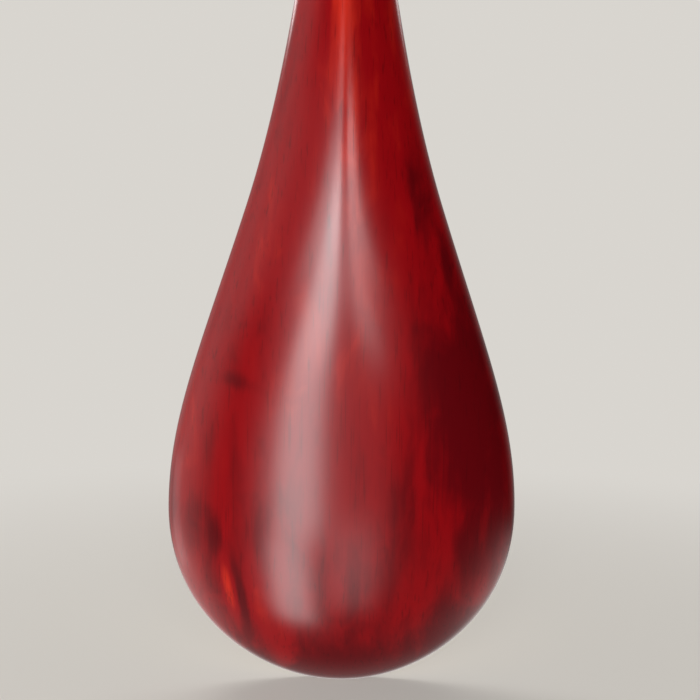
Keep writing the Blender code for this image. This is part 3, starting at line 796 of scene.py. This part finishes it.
def bridge_section(x):
    """A section across the bridge: upright towards the strings, scooped on its lower side."""
    drop = smooth((abs(x) - BRIDGE_FLAT_HALF) / (BRIDGE_HALF - BRIDGE_FLAT_HALF))
    height = mix(BRIDGE_HEIGHT, BRIDGE_END_HEIGHT, drop)
    low, high = BRIDGE_LOW_Z + 7 * MM * drop, BRIDGE_TOP_Z - 4 * MM * drop
    section = [(-GAP, low), (-GAP, high), (-height + BRIDGE_ROUND, high)]
    for a in half_turn(6)[1:4]:
        forward, down = (BRIDGE_ROUND * (1 - leg) for leg in (math.sin(a), math.cos(a)))
        section.append((-height + forward, high - down))
    for t in (k / 8 for k in range(9)):
        section.append((-height * mix(1, 0.36, t**1.35), mix(high - 9 * MM, low, t**0.8)))
    return [(x, y, z) for y, z in section]


def make_bridge(dark_wood, ivory):
    """The string holder with its tie channel, vent and string holes, and its bone edge strip."""
    rings = [bridge_section(mix(-BRIDGE_HALF, BRIDGE_HALF, k / 48)) for k in range(49)]
    channel = block((-TIE_HALF, -25 * MM, TIE_LOW_Z), (TIE_HALF, -TIE_FLOOR, TIE_HIGH_Z))
    vent = block((-20 * MM, -6 * MM, 66 * MM), (20 * MM, MM, 95 * MM))
    strip_low, strip_high = BRIDGE_TOP_Z + GAP, BRIDGE_EDGE_Z
    drill_from, drill_to = TIE_LOW_Z + 2 * MM, strip_high + 5 * MM

    def string_holes():
        for number, radius in enumerate(STRING_RADII, 1):
            centre = (string_x(number, BRIDGE_EDGE_Z), -BRIDGE_STRING_HEIGHT)
            yield rod(centre, radius + 0.35 * MM, drill_from, drill_to, axis=2, steps=20)

    cuts = [channel, vent, *string_holes()]
    mesh = worked(loft(rings), cuts=cuts, bevel=0.3 * MM, bevel_angle=45)
    to_frame("string_holder", mesh, dark_wood, "dark_hardwood", nodes=["bridge"])
    strip = block((-22 * MM, BRIDGE_ROUND - BRIDGE_HEIGHT, strip_low), (22 * MM, -11 * MM, strip_high))
    mesh = worked(strip, cuts=list(string_holes()), bevel=0.25 * MM)
    to_frame("string_holder_edge", mesh, ivory, "bone", nodes=["bridge_saddle"])


# ---- peg box ----


def head_point(x, s, depth):
    """A point of the peg box: s along its front face from the neck joint, depth into the wood."""
    radius = HEAD_BEND / HEAD_TILT
    angle = HEAD_TILT * min(1.0, max(0.0, s / HEAD_BEND))
    rest = max(0.0, s - HEAD_BEND) + min(0.0, s)
    y = radius * (1 - math.cos(angle)) + rest * math.sin(angle)
    z = NECK_END_Z + GAP + radius * math.sin(angle) + rest * math.cos(angle)
    return Vector((x, y + depth * math.cos(angle), z - depth * math.sin(angle)))


def head_section(s, steps=64):
    """A closed section of the peg box: the neck's spine fades into a squarer outline."""
    half = mix(NECK_HALF, HEAD_END_HALF, smooth(s / HEAD_END))
    depth = NECK_DEPTH + HEAD_SWELL * math.sin(math.pi * min(1, s / HEAD_END))
    thin = max(0.0, (s - HEAD_END + HEAD_CLOSE_LENGTH) / HEAD_CLOSE_LENGTH)
    depth -= HEAD_CLOSE_DROP * (1 - math.sqrt(max(0.0, 1 - thin * thin)))
    square = mix(2.0, 4.5, smooth(s / HEAD_BLEND))
    ridge = RIDGE_SHARE * (1 - smooth(s / HEAD_BLEND))
    top = math.hypot(1, RIDGE_ROUND) - RIDGE_ROUND
    ring = []
    for a in half_turn(steps):
        c = math.cos(a)
        x = half * math.copysign(abs(c) ** (2 / square), c)
        tent = 1 - (math.hypot(abs(c), RIDGE_ROUND) - RIDGE_ROUND) / top
        ring.append(head_point(x, s, depth * mix(math.sin(a) ** (2 / square), tent, ridge)))
    return ring


def head_channel(half, depth, low, high):
    """A cutter that follows the bend of the peg box's front face."""
    rings = []
    for k in range(33):
        s = mix(low, high, k / 32)
        corners = ((-half, -3 * MM), (half, -3 * MM), (half, depth), (-half, depth))
        rings.append([head_point(x, s, d) for x, d in corners])
    return loft(rings)


def peg_centre(n):
    return head_point(0, PEG_S[n], PEG_DEPTH)


def shaft_radius(u):
    return mix(PEG_TIP_R, PEG_ROOT_R, (u + PEG_TIP) / (2 * PEG_TIP))


def placed(bm, side, centre):
    """A solid turned about X, flipped to its side of the head and moved to its peg's centre."""
    for vert in bm.verts:
        vert.co = Vector((vert.co.x * side, vert.co.y, vert.co.z)) + centre
    if side < 0:
        bmesh.ops.reverse_faces(bm, faces=bm.faces)
    return bm


def make_peg_box(lacquer):
    """The bent head with its string slot, the bores of the pegs and the tenon into the neck."""
    cap = 13 * MM
    stations = [HEAD_BEND * k / 24 for k in range(25)]
    stations += [mix(HEAD_BEND, HEAD_END, k / 24) for k in range(1, 22)]
    stations += [HEAD_END - cap * (1 - math.sin(a)) for a in half_turn(20)[1:11]]
    cuts = [
        head_channel(SLOT_HALF, SLOT_DEPTH, SLOT_FROM, SLOT_TO),
        head_channel(THROAT_HALF, THROAT_DEPTH, THROAT_FROM, THROAT_TO),
    ]
    for n, side in enumerate(PEG_SIDE):
        ends = [(u, shaft_radius(u) + BORE_GAP) for u in (-PEG_TIP - 4 * MM, PEG_TIP + 4 * MM)]
        cuts.append(placed(turned(ends, 48), side, peg_centre(n)))
    tenon = block(
        (GAP - TENON_HALF, TENON_FRONT + GAP, TENON_END_Z),
        (TENON_HALF - GAP, TENON_BACK - GAP, NECK_END_Z + 6 * MM),
    )
    shell = loft([head_section(s) for s in stations])
    mesh = worked(shell, cuts=cuts, joins=[tenon], bevel=0.4 * MM, bevel_angle=55)
    to_frame("peg_box_shell", mesh, lacquer, "stained_hardwood", nodes=["peg_box"])


def cloud_radius(a):
    return ORNAMENT_R * (1 + ORNAMENT_LOBE * math.cos(3 * (a - math.pi / 2)))


def make_ornament(lacquer, ivory):
    """A three-lobed cloud with an eased edge, a carved border groove and a domed bone inlay.

    Both are solids through (depth in mm, size) levels, and a level's size scales its reach.
    """
    centre_s = HEAD_END + GAP + ORNAMENT_RISE
    cloud = (
        (14.6, 0.30), (14.8, 0.55), (14.6, 0.63), (14.7, 0.66), (15.6, 0.70), (16, 0.76), (15.8, 0.84),
        (15, 0.91), (13.4, 0.965), (11, 0.995), (9.4, 1.0), (8.6, 0.985), (8.1, 0.955), (7.5, 0.94),
        (6.9, 0.94), (6.3, 0.955), (5.8, 0.985), (5, 1.0), (2, 1.0), (0, 0.99), (-1.6, 0.96),
        (-2.6, 0.91), (-2.9, 0.86), (-2.6, 0.83), (-1.9, 0.80), (-1.7, 0.77), (-1.9, 0.74),
        (-2.6, 0.71), (-3.0, 0.66), (-3.0, 0.55), (-3.0, 0.42),
    )
    dome = (
        (-3.0, 8.0), (-4.0, 8.0), (-4.4, 7.6), (-4.5, 6.9), (-4.25, 6.5), (-4.3, 6.2), (-4.6, 5.0),
        (-4.85, 2.5),
    )

    for name, levels, reach, steps, material, slot, node in (
        ("cloud_head", cloud, cloud_radius, 108, lacquer, "stained_hardwood", "head_ornament"),
        ("cloud_inlay", dome, lambda a: MM, 64, ivory, "bone", "ornament_inlay"),
    ):
        rings = []
        for depth, size in levels:
            reaches = [(reach(a) * size, a) for a in full_turn(steps)]
            rings.append([
                head_point(r * math.cos(a), centre_s + r * math.sin(a), depth * MM) for r, a in reaches
            ])
        to_frame(name, worked(loft(rings)), material, slot, nodes=[node])


def fluted(handle, dark_wood):
    """Carves flutes that open out of the round neck of a handle and close again at its end."""
    shares = {"Opens_from": 0.09, "Opens_to": 0.19, "Closes_from": 0.985, "Closes_to": 0.935}
    rule = Pattern(
        "fluted_handle", Handle=handle, Flutes=FLUTES, Flute_depth=FLUTE_DEPTH, Wood=dark_wood,
        **{label: mix(PEG_SHOULDER, PEG_END, share) for label, share in shares.items()},
    )
    x, y, z = rule.position()
    half_flutes = rule.times(rule.input("Flutes"), 0.5)
    half_turns = rule.times(rule.math("ARCTAN2", z, y), half_flutes)
    hollow = rule.math("SUBTRACT", 1.0, rule.math("ABSOLUTE", rule.math("COSINE", half_turns)))
    depth = rule.times(hollow, rule.input("Flute_depth"))
    for end in ("Opens", "Closes"):
        fade = rule.spread(x, rule.input(end + "_from"), rule.input(end + "_to"))
        depth = rule.times(depth, fade)
    left = rule.math("SUBTRACT", 1.0, depth)
    place = rule.vector(x, rule.times(y, left), rule.times(z, left))
    carved = rule.node("GeometryNodeSetPosition", Geometry=rule.object("Handle"), Position=place)
    return rule.mesh(carved.outputs[0], "Wood")


def handle_radius(share):
    """The handle's swelling line, with two small beads behind the shoulder."""
    thin, thick, bead_width = 6.9 * MM, 12.2 * MM, 0.012
    close = 1 - 0.1 * smooth((share - 0.95) / 0.05)
    line = close * mix(thin, thick, smooth(share * 0.93 + 0.02) ** 0.85)
    for height, place in ((0.35 * MM, 0.03), (0.3 * MM, 0.075)):
        line += height * math.exp(-(((share - place) / bead_width) ** 2))
    return line


def peg_profile():
    """A peg along its axis: eased tip, tapered shaft, shoulder and handle."""
    profile = [(-PEG_TIP, 0.8 * PEG_TIP_R), (-PEG_TIP + 0.4 * MM, PEG_TIP_R)]
    shaft = [mix(-PEG_TIP + MM, PEG_TIP, k / 8) for k in range(9)]
    profile += [(u, shaft_radius(u)) for u in shaft]
    handle = [(k / 72) ** 1.2 for k in range(73)]
    return profile + [(mix(PEG_SHOULDER, PEG_END, share), handle_radius(share)) for share in handle]


def coil_mesh(n, wire):
    """The string's turns round a peg: a round wire along a flat spiral about the peg's axis."""
    radius = STRING_RADII[PEG_STRING[n] - 1]
    length = 2 * radius * (COIL_TURNS - 1)
    winding = Pattern(
        "string_winding", Turns=float(COIL_TURNS - 1), Length=length, Wire_radius=radius, Steps=40,
        Coil_radius=shaft_radius(PEG_COIL_X[n] * PEG_SIDE[n]) + GAP + radius, Wire=wire,
    )
    around = winding.input("Coil_radius")
    spiral = winding.node(
        "GeometryNodeCurveSpiral", Resolution=winding.input("Steps"), Rotations=winding.input("Turns"),
        Start_Radius=around, End_Radius=around, Height=winding.input("Length"),
    ).outputs[0]
    laid = winding.node(
        "GeometryNodeTransform", Geometry=winding.tube(spiral, 10), Rotation=(0, math.pi / 2, 0),
        Translation=(-length / 2, 0, 0),
    )
    mesh = winding.mesh(laid.outputs[0], "Wire")
    mesh.transform(Matrix.Translation(peg_centre(n) + Vector((PEG_COIL_X[n], 0, 0))))
    return mesh


def make_pegs(dark_wood, ivory, wire):
    """Each peg, its bone button and its string's winding ride on the peg's own body."""
    button = (
        (0.0, 9.4), (0.5, 10.6), (1.3, 11.2), (3.0, 11.2), (3.5, 10.8), (3.9, 11.0), (4.6, 10.4),
        (5.6, 9.2), (6.6, 7.2), (7.2, 5.4), (7.0, 4.6), (7.3, 3.8), (7.7, 2.2), (7.8, 0.9),
    )
    dome = [(PEG_END + GAP + u * MM, r * MM) for u, r in button]
    for n, side in enumerate(PEG_SIDE):
        label = n + 1
        body = f"tuning_peg_{label}"
        centre = peg_centre(n)
        handle = bench_object(turned(peg_profile(), 96))
        mesh = worked(placed(solid_of(fluted(handle, dark_wood)), side, centre))
        bpy.data.objects.remove(handle)
        to_frame(f"fluted_peg_{label}", mesh, dark_wood, "dark_hardwood", body, [f"peg_{label}"])
        mesh = worked(placed(turned(dome, 64), side, centre))
        to_frame(f"peg_cap_{label}", mesh, ivory, "bone", body, [f"peg_button_{label}"])
        mesh = coil_mesh(n, wire)
        to_frame(f"peg_winding_{label}", mesh, wire, "wound_string", body, [f"string_coil_{label}"])


def string_route(number):
    """A string's line: knot in the tie channel, bridge hole, nut, then round its peg's turns."""
    radius = STRING_RADII[number - 1]
    n = PEG_STRING.index(number)
    x, knot_top = string_x(number, BRIDGE_EDGE_Z), TIE_HIGH_Z - 1.2 * MM
    knot_radius, knot_pitch = 1.6 * radius + 0.3 * MM, 2.1 * radius
    route = []
    for share in (k / 48 for k in range(49)):
        a = 2 * math.pi * KNOT_TURNS * share
        out = knot_radius * (1 - smooth((share - 0.84) / 0.16))
        across, above = x + out * math.cos(a), out * math.sin(a) - BRIDGE_STRING_HEIGHT
        route.append(Vector((across, above, knot_top - KNOT_TURNS * knot_pitch * (1 - share))))
    route.append(Vector((x, -BRIDGE_STRING_HEIGHT, BRIDGE_EDGE_Z)))
    for k in range(1, 13):
        z = mix(BRIDGE_EDGE_Z, NUT_Z, k / 12)
        route.append(Vector((string_x(number, z), -string_height(z), z)))
    leave = Vector((string_x(number, NUT_Z), -NUT_STRING_HEIGHT, NUT_Z + NUT_LAND))
    route += [mix(route[-1], leave, 0.6), mix(route[-1], leave, 0.9)]
    centre = peg_centre(n)
    away = shaft_radius(PEG_COIL_X[n] * PEG_SIDE[n]) + 2 * GAP + 3 * radius
    run = Vector((centre.y - leave.y, centre.z - leave.z))
    heading = math.atan2(run.x, run.y) - math.asin(away / run.length)
    turns = [heading + math.radians(turn) for turn in range(0, 44, 4)]
    wrap = [
        Vector((PEG_COIL_X[n], centre.y - away * math.cos(a), centre.z + away * math.sin(a)))
        for a in turns
    ]
    return route + [mix(leave, wrap[0], k / 6) for k in range(1, 6)] + wrap


def make_strings(wire):
    """Each string is a round wire laid along its line."""
    for number, radius in enumerate(STRING_RADII, 1):
        route = string_route(number)
        curve = bpy.data.curves.new("string_line", "CURVE")
        curve.dimensions = "3D"
        spline = curve.splines.new("POLY")
        spline.points.add(len(route) - 1)
        for place, point in zip(spline.points, route):
            place.co = (*point, 1)
        line = bpy.data.objects.new("string_line", curve)
        laid = Pattern("wire_along_line", Line=line, Wire_radius=radius, Wire=wire)
        mesh = laid.mesh(laid.tube(laid.object("Line"), 12), "Wire")
        bpy.data.objects.remove(line)
        to_frame(f"sounding_string_{number}", mesh, wire, "wound_string", nodes=[f"string_{number}"])


def finish_inner_wood(spruce):
    """The two bars and three posts inside keep their CAD shape and get a bare wood finish."""
    for name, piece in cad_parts.items():
        if "_sound_" in name:
            piece.data.materials.clear()
            piece.data.materials.append(spruce)


# ---- studio ----

CAMERA_PLACE, CAMERA_LENS, CAMERA_ROLL = Vector((-0.006, 0.66, 0.284)), 39.0, math.radians(0.55)
LIT_POINT, LIGHT_DISTANCE = Vector((0, 0.045, 0.27)), 2.0
PALE = (0.69, 0.665, 0.625)
FLOOR_R, FLOOR_OWN_TONE_TO, FLOOR_BACKDROP_FROM = 6.0, 0.1, 1.3

# Soft lights as seen from the bowl: turns from +Y towards +X, rises, both in degrees; radiance.
LIGHTS = (
    ("tall_window", (6.3, 19.5), (5, 22), 7.2),
    ("tall_window_middle", (7.0, 20), (-22, 5), 7.5),
    ("tall_window_foot", (11.5, 22.5), (-34, -22.5), 6.9),
    ("tall_window_toe", (12.5, 23.5), (-43.5, -34), 6.2),
    ("window_frame", (19.5, 27), (-18, 0), 0.7),
    ("tall_window_top", (7, 20), (4, 20), 3.2),
    ("tall_window_corner", (9, 27), (15, 25), 4.9),
    ("tall_window_head", (7, 20), (25, 34), 1.8),
    ("second_window", (-20.5, -8), (14, 28), 6.0),
    ("second_window_foot", (-15.5, -8), (5, 14), 4.6),
    ("window_mullion", (-14, 3), (-32, 4), 0.32),
    ("window_mullion_top", (-8, 6), (8, 22), 2.8),
    ("window_mullion_foot", (-9, 3), (-38, -20), 1.4),
    ("upper_left", (24, 62), (16, 32), 0.3),
    ("low_left", (82, 104), (-32, -4), 0.8),
    ("front_left", (128, 165), (36, 66), 4.2),
    ("front_right", (-160, -130), (36, 60), 2.0),
)


def make_camera():
    data = bpy.data.cameras.new("main_camera")
    data.lens, data.sensor_width, data.clip_end = CAMERA_LENS, 36.0, 50.0
    camera = in_scene("main_camera", data)
    camera.location = CAMERA_PLACE + BENCH_TO_FRAME
    facing = Matrix.Rotation(math.pi, 4, "Z") @ Matrix.Rotation(math.pi / 2, 4, "X")
    camera.rotation_euler = (facing @ Matrix.Rotation(CAMERA_ROLL, 4, "Z")).to_euler()
    bpy.context.scene.camera = camera


def softbox(name, turns, rises, radiance):
    """A flat light that fills the given turns and rises as seen from the lit point."""
    turn, rise = (math.radians(sum(pair) / 2) for pair in (turns, rises))
    width, height = (
        2 * LIGHT_DISTANCE * math.tan(math.radians(high - low) / 2) for low, high in (turns, rises)
    )
    data = bpy.data.lights.new(name, "AREA")
    data.shape = "RECTANGLE"
    data.size, data.size_y = width, height
    data.energy = radiance * math.pi * width * height
    level = math.cos(rise)
    away = Vector((level * math.sin(turn), level * math.cos(turn), math.sin(rise)))
    light = in_scene(name, data)
    light.location = LIT_POINT + away * LIGHT_DISTANCE
    light.rotation_euler = away.to_track_quat("Z", "Y").to_euler()


def make_floor():
    """A round pale floor that brightens into the backdrop's even tone far from the object."""
    bm = bmesh.new()
    bmesh.ops.create_circle(bm, cap_ends=True, segments=96, radius=FLOOR_R)
    floor = bench_object(bm)
    floor.name = floor.data.name = "studio_floor"
    paint = Finish("studio_floor_paint", 0.9, Base_Color=(0.70, 0.66, 0.60, 1))
    glow = paint.node("ShaderNodeEmission", Color=(*PALE, 1))
    away = paint.length(paint.coordinates)
    share = paint.spread(away, FLOOR_OWN_TONE_TO, FLOOR_BACKDROP_FROM, 0.4, 1.0)
    paint.surface(share, paint.shader, glow, "Material Output")
    floor.data.materials.append(paint.material)
    floor.visible_glossy = floor.visible_diffuse = floor.visible_shadow = False


def make_surround():
    """Light from the room: a dim -X side, a brighter +X wall, and bright cloth behind and below."""
    world = bpy.data.worlds.new("studio_room")
    bpy.context.scene.world = world
    world.use_nodes = True
    light = Nodes(world.node_tree)
    x, y, z = light.split(light.node("ShaderNodeTexCoord").outputs["Generated"])
    wall = light.times(light.spread(x, 0.6, 1.0), light.spread(y, -0.2, 0.3, 0.6, 1.0))
    behind = light.spread(y, 0.0, -0.9, 0.0, 0.4)
    shaded = light.times(light.spread(z, -0.2, -0.5), light.spread(z, -0.9, -0.65, 0.4, 1.0))
    below = light.times(light.spread(y, 0.8, -0.1, 0.08, 1.2), shaded)
    strength = light.math("ADD", wall, light.math("MAXIMUM", behind, below))
    room = light.tree.nodes["Background"]
    room.inputs["Color"].default_value = (1, 0.98, 0.95, 1)
    light.link(strength, room.inputs["Strength"])
    backdrop = light.node("ShaderNodeBackground", Color=(*PALE, 1))
    seen = light.node("ShaderNodeLightPath").outputs["Is Camera Ray"]
    light.surface(seen, room, backdrop, "World Output")


def main():
    bpy.context.scene.view_settings.view_transform = "Standard"
    make_camera()
    make_floor()
    make_surround()
    for light in LIGHTS:
        softbox(*light)
    lacquer = red_lacquer()
    dark_wood = grained("dark_hardwood_oiled", (0.10, 0.022, 0.014), (0.035, 0.010, 0.008), 0.36, 0.35)
    bamboo = grained(
        "scraped_bamboo", (0.40, 0.22, 0.075), (0.27, 0.13, 0.04), 0.42, 0.2, skin=(0.78, 0.62, 0.36)
    )
    spruce = grained("bare_spruce", (0.68, 0.50, 0.30), (0.56, 0.38, 0.20), 0.7)
    ivory = bone()
    wire = wound_wire()
    make_back(lacquer)
    make_soundboard(paulownia())
    make_stops(dark_wood, bamboo, ivory)
    make_nut(ivory)
    make_bridge(dark_wood, ivory)
    make_peg_box(lacquer)
    make_ornament(lacquer, ivory)
    make_pegs(dark_wood, ivory, wire)
    make_strings(wire)
    finish_inner_wood(spruce)


main()
